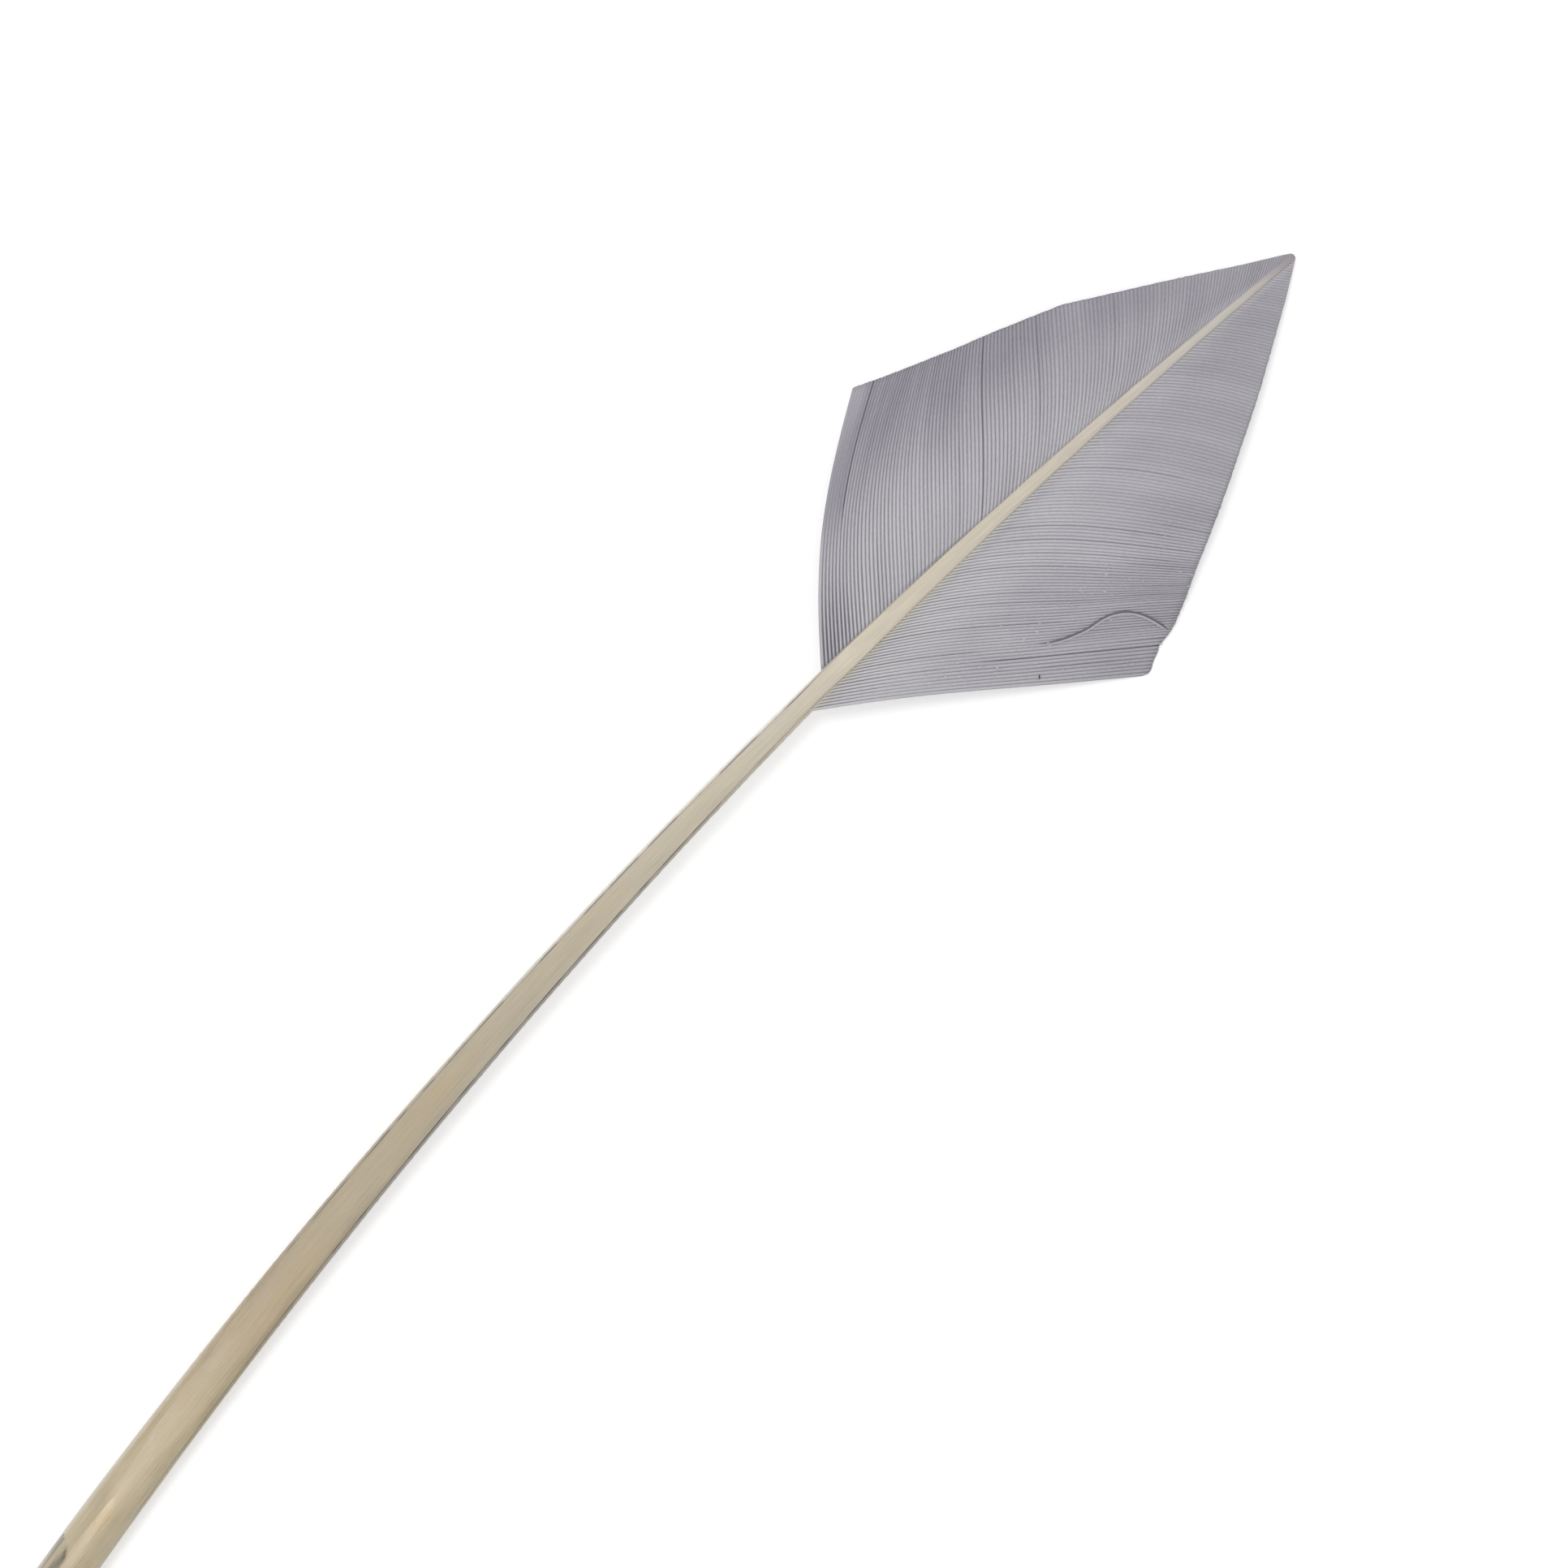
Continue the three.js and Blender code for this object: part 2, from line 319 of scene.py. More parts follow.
def makeDyedBarbs():
    # Turkey vane, bleached and dyed silver grey: flat barbs hooked together by barbules. It is matt with a faint
    # sheen along the barbs, paler on each barb's spine and darker in the hollow between two of them, partly the
    # barbules' own colour and partly painted shade; painted shade also darkens the drooping outer vane, the fold,
    # the join at the shaft and the splits.
    material, tree, shader = newMaterial("dyedBarbs")
    place = readValues(tree, ("crest", "outerShadeAndPatches", "spine", "creamAndLitSide", "root", "splitShade", "barb", "reach"))
    hatch = addNode(tree, "ShaderNodeCombineXYZ", {}, {
        "X": addMath(tree, "MULTIPLY", place["barb"], dyed["hatchAcross"]),
        "Y": addMath(tree, "DIVIDE", place["reach"], dyed["hatchLength"])}).outputs[0]
    barbules = addNoise(tree, hatch, 3.0, 0.6)
    clouds = addNoise(tree, addStretch(tree, hatch, dyed["cloudStretch"]), 3.0)
    stripes = addMix(tree, place["crest"], colour(dyed["valleyColour"]), colour(dyed["crestColour"]))
    outerShadeAndPatches = tuple(a / b for a, b in zip(colour(dyed["outerShadeColour"]), colour(dyed["outerShadeWhite"])))
    shaded = addMix(tree, 1.0, stripes, addMix(tree, place["outerShadeAndPatches"], (1, 1, 1, 1), outerShadeAndPatches), "MULTIPLY")
    tone = addMath(tree, "MULTIPLY", addRange(tree, barbules, noiseRange, dyed["barbuleTones"]),
                   addRange(tree, clouds, noiseRange, dyed["cloudTones"]))
    base = layerColours(tree, addTone(tree, shaded, tone), place, dyed, ("spine", "creamAndLitSide", "root", "splitShade"))
    tree.links.new(base, shader.inputs["Base Color"])
    tree.links.new(addRange(tree, barbules, noiseRange, dyed["roughness"]), shader.inputs["Roughness"])
    addBump(tree, shader, barbules, *dyed["bump"])
    shader.inputs["IOR"].default_value = keratinIor
    shader.inputs["Sheen Weight"].default_value = dyed["sheen"]
    shader.inputs["Sheen Roughness"].default_value = dyed["sheenRoughness"]
    return material


dust = {"paleColour": 0xD6D4D8, "darkColour": 0x3C3A40, "roughness": 0.7, "grains": 2500.0, "tones": (0.75, 1.1),
        "bump": (0.3, 0.00005)}


def makeBarbuleDust():
    # Broken tips of barbules, undyed inside: matt white keratin crumbs, and one speck that took too much dye.
    material, tree, shader = newMaterial("barbuleDust")
    place = addNode(tree, "ShaderNodeTexCoord").outputs["Object"]
    grain = addNoise(tree, place, 2.0, scale=dust["grains"])
    pale = addTone(tree, colour(dust["paleColour"])[:3], addRange(tree, grain, (0, 1), dust["tones"]))
    base = layerColours(tree, pale, readValues(tree, ["dark"]), dust, ["dark"])
    tree.links.new(base, shader.inputs["Base Color"])
    addBump(tree, shader, grain, *dust["bump"])
    shader.inputs["Roughness"].default_value = dust["roughness"]
    shader.inputs["IOR"].default_value = keratinIor
    return material


shaft = {
    "buttX": -11.0, "tipX": 283.7,  # from the quill's blunt end to the tip
    "bow": 11.2,  # how far the middle stands to the left of a straight line
    "tipWidth": 0.9, "widthPerMm": 0.0253, "maxWidth": 7.2,
    "taperLength": 60.0, "buttNarrowing": 0.34, "noseLength": 3.0,
    "calamusDepth": 1.0, "rachisDepth": 0.85, "tipDepth": 0.62,  # depth over width
    "arch": 6.0, "tipClearance": 0.4, "restHalf": 7.0, "restCut": 0.2,
    "calamusEndX": 38.0, "rachisStartX": 66.0,  # round quill up to here, square-shouldered rachis from here
    "ledge": 0.45, "ledgeShare": 0.14, "vaneLedge": 0.12,  # the step along each side, and its share in the vanes
    # half of the rachis's section from the bottom to the top: angle in the round quill, side and height as
    # shares of half the width and depth, how much of the ledge's step applies, dark crease (painted shade), wall
    # (painted shade on the right, painted light on the left), bright lip (painted highlight)
    "section": [(-90, 0.00, -0.52, 0, 0, 0, 0), (-84, 0.12, -0.60, 0, 0, 0, 0), (-76, 0.22, -0.84, 0, 0, 0, 0),
                (-66, 0.38, -0.97, 0, 0, 0, 0), (-50, 0.62, -0.93, 0, 0, 0, 0), (-35, 0.82, -0.76, 0, 0, 0, 0),
                (-20, 0.94, -0.48, 0, 0, 0, 0), (-8, 0.99, -0.18, 0, 0, 0.3, 0), (2, 1.00, 0.05, 0, 0, 1, 0),
                (9, 0.995, 0.22, 0, 0, 1, 0), (14, 0.98, 0.33, 0, 0, 1, 0), (17, 0.97, 0.38, 0.15, 0, 1, 0),
                (19, 0.97, 0.4, 0.4, 0.3, 0.8, 0), (21, 0.97, 0.41, 0.7, 1, 0.1, 0), (23, 0.97, 0.41, 1, 1, 0, 0),
                (26, 0.975, 0.48, 1, 0.4, 0, 0), (30, 0.975, 0.60, 1, 0, 0, 0.6), (36, 0.95, 0.74, 1, 0, 0, 1),
                (44, 0.87, 0.85, 1, 0, 0, 0.6), (55, 0.70, 0.93, 1, 0, 0, 0.2), (70, 0.38, 0.98, 1, 0, 0, 0),
                (80, 0.19, 0.995, 1, 0, 0, 0), (90, 0.00, 1.00, 1, 0, 0, 0)],
    "ringHalf": 61,
    "tipPinch": 0.1, "tipPinchX": 276.0, "tipDome": 0.35, "tipTurns": (25, 50, 75),  # degrees round the domed tip
    "stations": (200, 480), "stationsMeet": 50.0, "noseStations": 9,  # closer together in the quill, for its scar
    "streak": 0.014, "fibreLength": 7.0, "fibreWidth": 0.22,  # the fine lengthwise fibres
    "creaseDepth": 0.07, "lipHeight": 0.05,  # the dark line and the bright rim along each ledge
    "scarHeight": 0.045, "scarPitch": 0.72,  # stumps of the barbs that were pulled off
    # mm along the shaft over which a mark sets in, or fades away
    "vaneFrom": (192, 204), "creaseFrom": (62, 110), "creaseTo": (240, 265), "rightCreaseTo": (160, 190),
    "stumpsFrom": (55, 75), "wallFrom": (60, 110), "wallTo": (150, 190), "lipFrom": (90, 150),
    "paleFrom": (80, 185), "coveredFrom": (215, 250), "rimTo": (66, 90), "shadeTo": (70, 140),
    "glossTo": (60, 100),
    "brokenLength": 1.8, "stumpDrift": 4.0, "stumpSpread": 1.1,  # mm over which the crease and the stumps change
    # how strong: the faintest crease, the painted highlight on the left lip, the grey on the right side near the
    # tip, painted light on the left wall, a painted reflection of the sky along the quill's left edge, and
    # painted shade on the quill's flank beside its highlight
    "creaseLeast": 0.15, "leftLip": 0.35, "covered": 0.55, "litWall": 0.95, "paleRim": 0.4, "shade": 0.08,
    "peelHeight": 0.05, "peelRough": 0.6, "tearWidth": 0.12, "peelTone": 0.25,  # where the skin has come off
    "peelEdge": [(18.0, 1.1), (22.0, 0.66), (30.0, 0.42), (37.0, 0.32), (39.2, 0.36), (40.9, 0.62), (41.6, 1.1)],
    # where the horn is thick and amber: x, across, half length in mm, half width, strength
    "amberSpots": [(46.5, 0.05, 3.2, 0.2, 0.6), (33.0, -0.1, 5.0, 0.2, 0.2), (121.0, 0.15, 7.0, 0.4, 0.2),
                   (88.0, -0.2, 9.0, 0.4, 0.15), (150.0, 0.1, 8.0, 0.5, 0.1), (18.0, 0.1, 9.0, 0.4, 0.2)],
    "umbilicus": 0.15, "umbilicusDepth": 1.6,  # the small hole in the quill's end
    "umbilicusRows": [(1.0, 0.7), (0.3, 0.95)],  # shares of its depth and its width
    "seeds": {"fibres": 11, "broken": 11, "drift": 5, "spread": 8, "peel": 3, "torn": 9},
}


def bowAt(x):  # 4 bow q (1 - q), q = share of the length
    q = (x - shaft["buttX"]) / (shaft["tipX"] - shaft["buttX"])
    return 4 * shaft["bow"] * q * (1 - q)


def shaftY(x):  # the centreline, moved so that it passes through the origin
    return bowAt(x) - bowAt(0)


def shaftHeading(x):  # atan of the centreline's slope
    length = shaft["tipX"] - shaft["buttX"]
    return np.arctan(4 * shaft["bow"] * (1 - 2 * (x - shaft["buttX"]) / length) / length)


def shaftWidth(x):  # grows evenly from the tip to a limit, then falls with the square of the way into the quill
    grown = np.minimum(shaft["tipWidth"] + shaft["widthPerMm"] * (shaft["tipX"] - x), shaft["maxWidth"])
    back = np.clip((shaft["buttX"] + shaft["taperLength"] - x) / shaft["taperLength"], 0, 1)
    return grown * (1 - shaft["buttNarrowing"] * back * back)


def shaftDepth(x):  # width times a share that falls from the round quill to the flat tip
    rachis = mix(shaft["rachisDepth"], shaft["tipDepth"], smooth(x, shaft["rachisStartX"], shaft["tipX"]))
    share = mix(shaft["calamusDepth"], rachis, smooth(x, shaft["calamusEndX"], shaft["rachisStartX"]))
    return shaftWidth(x) * share


def undersideZ(x):  # a flat, then arch * 27/4 t^2 (1 - t), which peaks at arch and falls towards the tip
    t = np.clip((x - shaft["restHalf"]) / (shaft["tipX"] - shaft["restHalf"]), 0, 1)
    rise = shaft["arch"] * 27 / 4 * t * t * (1 - t)
    return -shaft["restCut"] + rise + (shaft["tipClearance"] + shaft["restCut"]) * t * t


def shaftRing():
    # the section's table as a smooth curve from the bottom up the left side, then mirrored down the right side
    half = smoothRoute(np.array(shaft["section"], float), shaft["ringHalf"])
    ring = np.concatenate([half, half[-2:0:-1]])
    ring[len(half):, 0] = 180 - ring[len(half):, 0]
    ring[len(half):, 1] *= -1
    return ring.T[:, None, :]


def shaftSurface(x, scale, ring):
    # circle in the quill, mixed into the table's section in the rachis, carried along the bowed centreline;
    # all fine relief is an offset along the section's own direction
    angle, tableSide, tableHeight, inset, crease, wall, lip = ring
    angle = np.radians(angle)
    seeds = shaft["seeds"]
    rachis = smooth(x, shaft["calamusEndX"], shaft["rachisStartX"])
    inVane = smooth(x, *shaft["vaneFrom"])
    pinch = 1 - shaft["tipPinch"] * smooth(x, shaft["tipPinchX"], shaft["tipX"])
    halfWidth, halfDepth = shaftWidth(x) / 2 * pinch, shaftDepth(x) / 2
    c, s = np.cos(angle), np.sin(angle)
    step = np.minimum(shaft["ledge"] / halfWidth, 2 * shaft["ledgeShare"]) * mix(1, shaft["vaneLedge"], inVane)
    across = mix(c, tableSide * (1 - step * inset), rachis)
    high = mix(s, tableHeight, rachis)

    # the crease comes and goes, and the stumps stand in a row under it
    bare = rachis * (1 - inVane)
    left = c > 0
    upper = s > 0
    least = shaft["creaseLeast"]
    broken = mix(least, 1, smooth(waves(x + 40 * left, shaft["brokenLength"], seeds["broken"]), -0.2, 0.3))
    broken = broken * mix(1, least, smooth(x, *shaft["rightCreaseTo"]) * (1 - left))
    crease = crease * smooth(x, *shaft["creaseFrom"]) * (1 - smooth(x, *shaft["creaseTo"]))
    crease = crease * broken * mix(1, least, inVane)
    stumps = np.sin(2 * np.pi * x / shaft["scarPitch"] + 2.5 * waves(x, shaft["stumpDrift"], seeds["drift"]))
    stumps = (stumps * 0.5 + 0.5) ** 2 * wall * bare * smooth(x, *shaft["stumpsFrom"])
    fibres = ripples(x, angle * halfWidth, shaft["fibreLength"], shaft["fibreWidth"], seeds["fibres"])

    # the peeled patch lies outside its edge's line on the left, and its rim is dark
    edge = readTable(shaft["peelEdge"], x) + 0.02 * waves(x, shaft["peelRough"], seeds["peel"])
    peel = smooth(across, edge - 0.015, edge + 0.03) * smooth(high, -0.5, 0.2)
    peelRim = bell(across, edge, 0.055) * smooth(high, 0, 0.5) * smooth(x, 18, 24) * (1 - smooth(x, 39.6, 40.8))
    torn = smooth(ripples(x, across, shaft["fibreLength"], shaft["tearWidth"], seeds["torn"]), 0.1, 0.6) * peel

    offset = (shaft["streak"] * fibres - shaft["creaseDepth"] * crease + shaft["lipHeight"] * lip * bare
              + shaft["scarHeight"] * stumps * (0.7 + 0.3 * waves(x, shaft["stumpSpread"], seeds["spread"]))
              - shaft["peelHeight"] * peel * (1 + torn))
    offset = offset * smooth(scale, 0.5, 1.0)
    out = np.hypot(halfWidth * c, halfDepth * s)
    sideways = (halfWidth * across + offset * halfWidth * c / out) * scale
    lift = (halfDepth * high + offset * halfDepth * s / out) * scale
    heading = shaftHeading(x)
    points = np.stack([x - np.sin(heading) * sideways, shaftY(x) + np.cos(heading) * sideways,
                       np.maximum(undersideZ(x) + halfDepth + lift, 0)], -1)

    # what the horn's colours go by: painted light on the left wall, more of it towards the vane, and in the quill
    # a painted reflection of the sky along the left edge; painted shade on the right wall, in the creases and on
    # the quill's flank beside its highlight
    amber = 0 * across
    for spotX, spotSide, halfLength, halfSpan, strength in shaft["amberSpots"]:
        amber = amber + strength * bell(x, spotX, halfLength) * bell(across, spotSide, halfSpan) * upper
    covered = shaft["covered"] * smooth(x, *shaft["coveredFrom"]) * smooth(-across, 0.45, 0.85) * upper
    pale = left * smooth(x, *shaft["paleFrom"])
    # painted shade on the walls: most on the right, away from the light, little on the lit left, and less towards
    # the tip
    wallShade = mix((1 - 0.7 * left) * (1 - pale), 0.25 * (1 - left), smooth(x, *shaft["wallTo"]))
    wallShade = wallShade * (0.75 + 0.25 * stumps) * smooth(x, *shaft["wallFrom"])
    paleRim = shaft["paleRim"] * left * smooth(across, 0.8, 0.95) * (1 - smooth(x, *shaft["rimTo"]))
    shade = shaft["shade"] * bell(across, 0.42, 0.22) * upper * (1 - smooth(x, *shaft["shadeTo"]))
    values = {
        "along": x + 0 * across, "around": angle * halfWidth,
        # painted shade in the crease and on the flank, with the peel's dark rim and torn streaks
        "crease": np.clip(crease * 0.9 + peelRim * 0.9 + torn * 0.6 + shade, 0, 1),
        "wall": wall * bare * wallShade + covered, "litWall": shaft["litWall"] * wall * bare * pale + paleRim,
        # a painted highlight on each ledge's raised rim, full on the right and fainter on the left
        "lip": mix(1, shaft["leftLip"], left) * lip * bare * smooth(x, *shaft["lipFrom"]),
        "amber": np.clip(amber, 0, 1), "peel": peel * shaft["peelTone"],
        "gloss": 1 - smooth(x, *shaft["glossTo"]) + 0 * across,
    }
    return points, values


def makeShaft(material):
    # rings of the section from inside the hole in the quill's end, round its nose and on to the domed tip
    turn = np.linspace(math.asin(shaft["umbilicus"]), math.pi / 2, shaft["noseStations"])[:-1]
    tipTurn = np.radians(shaft["tipTurns"])
    holeDepth, holeWidth = np.array(shaft["umbilicusRows"]).T
    near, far = shaft["stations"]
    body = np.concatenate([np.linspace(shaft["buttX"] + shaft["noseLength"], shaft["stationsMeet"], near)[:-1],
                           np.linspace(shaft["stationsMeet"], shaft["tipX"], far)])
    x = np.concatenate([shaft["buttX"] + shaft["umbilicusDepth"] * holeDepth,
                        shaft["buttX"] + shaft["noseLength"] * (1 - np.cos(turn)), body,
                        shaft["tipX"] + shaft["tipDome"] * np.sin(tipTurn)])
    scale = np.concatenate([shaft["umbilicus"] * holeWidth, np.sin(turn), np.ones(len(body)), np.cos(tipTurn)])
    points, values = shaftSurface(x[:, None], scale[:, None], shaftRing())
    faces, uvs = tubeFaces(*points.shape[:2], 0.012, 0.01)
    points = np.concatenate([points.reshape(-1, 3), points[[0, -1]].mean(1)])
    values = {k: np.concatenate([v.ravel(), v[[0, -1]].mean(1)]) for k, v in values.items()}
    meshPiece("quill", points, faces, uvs, values, material)


leftVane = {
    "name": "vane_left", "side": 1, "rootX": 196.8,
    # share of the vane, then the barbs' angles to the shaft at the ways along them in angleAt
    "angles": [(0.0, 49.9, 47.2, 42.7, 36.4, 31.8, 30.1), (0.08, 50.5, 48.9, 43.4, 34.8, 29.3, 26.4),
               (0.18, 48.3, 48.6, 45.1, 36.3, 30.1, 26.1), (0.3, 43.5, 47.1, 47.9, 41.9, 36.2, 31.3),
               (0.45, 37.9, 45.3, 51.3, 49.9, 46.1, 42.2), (0.65, 32.8, 43.4, 52.5, 56.9, 58.5, 59.2),
               (1.0, 25.2, 40.1, 54.3, 67.4, 79.0, 89.8)],
    "cut": [(230.6, 31.45), (257.63, 17.77), (284.6, -1.5)], "reach": 41.5,
    # how far the barbs reach past the straight cuts, by share of the vane
    "ends": [(0.0, 0.05), (0.006, 0.08), (0.03, 0.0), (0.08, -0.15), (0.18, -0.23), (0.27, -0.23), (0.37, -0.02),
             (0.75, 0.0), (0.87, -0.1), (0.97, 0.0), (0.99, -0.03), (1.0, -0.25)],
    "barbs": 131, "pitch": [(0.0, 0.70), (0.48, 0.705), (0.62, 0.67), (0.82, 0.61), (1.0, 0.55)], "seed": 21,
    "ridge": 0.2, "baseRidge": 0.36, "contrast": 0.7, "baseContrast": 1.4, "outerContrast": -0.3,
    "farContrast": -0.25, "rootContrast": 0.15,
    "outerDrop": 1.15, "tipDrop": 0.55, "baseTone": 0.61,
    "darkBand": (0.64, 0.12, 0.4),  # darker along the cut: share of the vane, width, strength
    "tone": [(0.0, 0.77), (0.45, 0.81), (0.6, 0.77), (0.8, 0.80), (1.0, 0.78)],  # mean tone, by share of the vane
    "rootTone": [(0.0, 0.1), (0.1, 0.3), (0.25, 0.22), (0.4, 0.13), (0.7, 0.12), (0.78, 0.25), (0.9, 0.2),
                 (1.0, 0.02)],  # paler at the shaft
    "fade": [(0.0, 1.1), (0.06, 1.2), (0.15, 1.25), (0.25, 1.25), (0.4, 1.25), (0.55, 0.85), (0.7, 0.7),
             (0.9, 0.5)],  # how strong the stripes are
    # darkRoots: strength of the painted shade where the barbs meet the shaft, near the base and further out
    "fray": 0.03, "rootRise": 0.0, "creamRoots": 0.0, "darkRoots": (0.8, 0.25),
    # barbs that have come apart: share of the vane, from and to along the barb, depth, darkness of the painted
    # shade in the gap
    "splits": [(0.346, 1, 27, 0.2, 0.6), (0.051, 20, 44, 0.25, 0.8), (0.099, 3, 10, 0.06, 0.2),
               (0.131, 3, 12, 0.06, 0.15), (0.204, 2, 12, 0.06, 0.2), (0.295, 3, 15, 0.06, 0.2),
               (0.462, 8, 23, 0.06, 0.2), (0.611, 5, 17, 0.06, 0.15)],
    # the barbs' spines are palest near the shaft: strength by share of the vane, and how far out it goes
    "paleSpines": [(0.0, 0.0), (0.04, 0.1), (0.09, 0.5), (0.25, 0.2), (0.45, 0.05), (0.6, 0.0)],
    "spineLength": 24,
    "folded": 0.051, "paleBarbs": [(0.0, 0, 19, 0.35)],  # share of the vane, from and to along the barb, strength
}
rightVane = {
    "name": "vane_right", "side": -1, "rootX": 191.1,
    "angles": [(0.0, 35.4, 36.7, 38.5, 40.1, 40.4, 39.7), (0.08, 31.3, 34.6, 38.8, 40.0, 38.5, 39.0),
               (0.18, 29.0, 34.7, 40.7, 41.9, 39.0, 41.0), (0.3, 29.4, 37.3, 44.6, 47.4, 47.4, 47.9),
               (0.45, 32.3, 42.1, 50.4, 54.6, 56.8, 58.4), (0.65, 37.6, 48.5, 58.0, 64.2, 68.8, 72.9),
               (1.0, 47.8, 59.3, 70.3, 80.3, 89.5, 98.4)],
    "cut": [(227.8, -25.0), (234.8, -23.2), (251.1, -16.9), (267.8, -9.9), (278.6, -4.72), (284.5, -1.62)],
    "reach": 49.0,
    "ends": [(0.0, -0.9), (0.004, -0.2), (0.016, -0.18), (0.024, -0.38), (0.05, -0.6), (0.06, -0.76),
             (0.07, -0.5), (0.08, -0.27), (0.1, -0.15), (0.12, -0.03), (0.18, 0.09), (0.3, 0.0),
             (0.4, 0.07), (0.55, 0.13), (0.7, 0.09), (0.75, 0.0), (1.0, 0.0)],
    "barbs": 139, "pitch": [(0.0, 0.70), (0.12, 0.71), (0.25, 0.757), (0.33, 0.785), (0.45, 0.73), (0.6, 0.69),
                            (0.8, 0.59), (1.0, 0.50)], "seed": 22,
    "ridge": 0.2, "baseRidge": 0.26, "contrast": 0.85, "baseContrast": 0.95, "outerContrast": 0.15,
    "farContrast": 0.25, "rootContrast": 0.6,
    "outerDrop": 0.4, "tipDrop": 0.35, "baseTone": 1.15, "darkBand": (0.5, 0.13, 0.2),
    "tone": [(0.0, 0.86), (0.1, 0.91), (0.2, 1.02), (0.3, 0.84), (0.45, 0.73), (0.6, 0.70), (0.75, 0.66),
             (1.0, 0.62)],
    "rootTone": [(0.0, 0.3), (0.2, 0.36), (0.3, 0.18), (0.75, 0.08), (0.9, 0.0)],
    "fade": [(0.0, 1.15), (0.1, 1.2), (0.15, 1.5), (0.25, 1.2), (0.4, 0.57), (0.55, 0.42), (0.7, 0.36),
             (0.9, 0.25)],
    "fray": 0.04, "rootRise": 0.24, "creamRoots": 0.9, "darkRoots": (0.1, 0.05),
    "splits": [(0.059, 23, 49, 0.25, 0.8), (0.082, 4, 20, 0.1, 0.4), (0.140, 3, 28, 0.1, 0.4),
               (0.201, 33, 41, 0.1, 0.35), (0.102, 3, 9, 0.06, 0.25), (0.074, 41, 48, 0.1, 0.3),
               (0.054, 3, 17, 0.08, 0.25), (0.518, 3, 19, 0.08, 0.25), (0.384, 3, 27, 0.1, 0.25),
               (0.036, 32, 42, 0.08, 0.25), (0.195, 6, 28, 0.08, 0.25), (0.281, 5, 24, 0.08, 0.22),
               (0.404, 24, 31, 0.08, 0.2), (0.315, 5, 32, 0.08, 0.2), (0.113, 33, 44, 0.08, 0.2),
               (0.222, 4, 24, 0.08, 0.2), (0.235, 32, 38, 0.08, 0.2), (0.296, 26, 35, 0.06, 0.2),
               (0.353, 6, 32, 0.08, 0.2)],
    "paleSpines": [(0.0, 0.7), (0.12, 1.0), (0.22, 0.9), (0.35, 0.15), (0.5, 0.0)], "spineLength": 18,
    "folded": 0.0, "paleBarbs": [(0.067, 28, 46, 0.3), (0.078, 32, 44, 0.15)],
}
vanes = {
    "phases": (0.0, 0.14, 0.33, 0.5, 0.67, 0.86),  # each barb's lines, 0 in the hollow and 0.5 on the spine
    "angleAt": (0.0, 8.0, 16.0, 24.0, 32.0, 40.0),
    "steps": 47, "pathStep": 0.5, "tipMargin": 0.15,
    "overlap": 0.2, "attachHeight": 0.66, "droopPower": 1.7,
    "outerHeight": 0.13, "film": 0.05,  # height of the outer edge's hollows, and thickness of the web
    "swell": 0.14,  # slow rise and fall of locks of barbs
    "pitchSpread": 0.06, "ridgeSpread": 0.15, "toneSpread": 0.045, "patchSpread": 0.05, "patchTones": (0.1, 0.22),
    "endNotch": 0.05, "crestMean": 0.62, "crestPower": 0.75, "stepPower": 1.1, "thinnest": 0.03,
    "footShare": (0.03, 0.28), "footReach": (4, 24),  # the vane's foot, whose barbs are coarser
    "foldReach": (14, 26), "foldRise": 0.3, "splitLines": 0.9,  # how wide a split is, in lines
}


def insideCuts(vane, x, y):  # distance to the nearest straight cut, positive on the shaft's side of all of them
    near = []
    for (ax, ay), (bx, by) in zip(vane["cut"][:-1], vane["cut"][1:]):
        cross = (bx - ax) * (y - ay) - (by - ay) * (x - ax)
        near.append(-vane["side"] * cross / math.hypot(bx - ax, by - ay))
    return np.min(near, axis=0)


def barbPaths(vane, f):
    # barbs that leave the shaft at shares f: their angle to it is read from the vane's table, straight between
    # its rows and columns, and x and y are the running sums of its cosine and sine
    f = np.asarray(f, float)
    v = (np.arange(110) + 0.5) * vanes["pathStep"]
    shares, *columns = np.array(vane["angles"]).T
    table = np.stack([np.interp(f, shares, column) for column in columns], 1)
    place = np.interp(v, vanes["angleAt"], np.arange(len(columns)))
    k = np.minimum(place.astype(int), len(columns) - 2)
    angle = mix(table[:, k], table[:, k + 1], place - k)
    rootX = mix(vane["rootX"], shaft["tipX"] - vanes["tipMargin"], f)[:, None]
    turn = shaftHeading(rootX) + vane["side"] * np.radians(angle)
    x = rootX + np.cumsum(np.cos(turn) * vanes["pathStep"], axis=1)
    y = shaftY(rootX) + np.cumsum(np.sin(turn) * vanes["pathStep"], axis=1)
    return np.concatenate([rootX, x], 1), np.concatenate([shaftY(rootX), y], 1)


def barbReach(vane, paths):  # length along each barb to where it crosses a cut
    inside = insideCuts(vane, *paths)
    i = np.argmax(inside < 0, axis=1)
    k = np.arange(len(i))
    before, after = inside[k, i - 1], inside[k, i]
    return (i - 1 + before / (before - after)) * vanes["pathStep"]


def alongPaths(paths, v):  # x and y at lengths v (one row for each barb), straight on below 0
    i = np.clip(np.floor(v / vanes["pathStep"]).astype(int), 0, paths[0].shape[1] - 2)
    share = v / vanes["pathStep"] - i
    return [mix(np.take_along_axis(p, i, 1), np.take_along_axis(p, i + 1, 1), share) for p in paths]


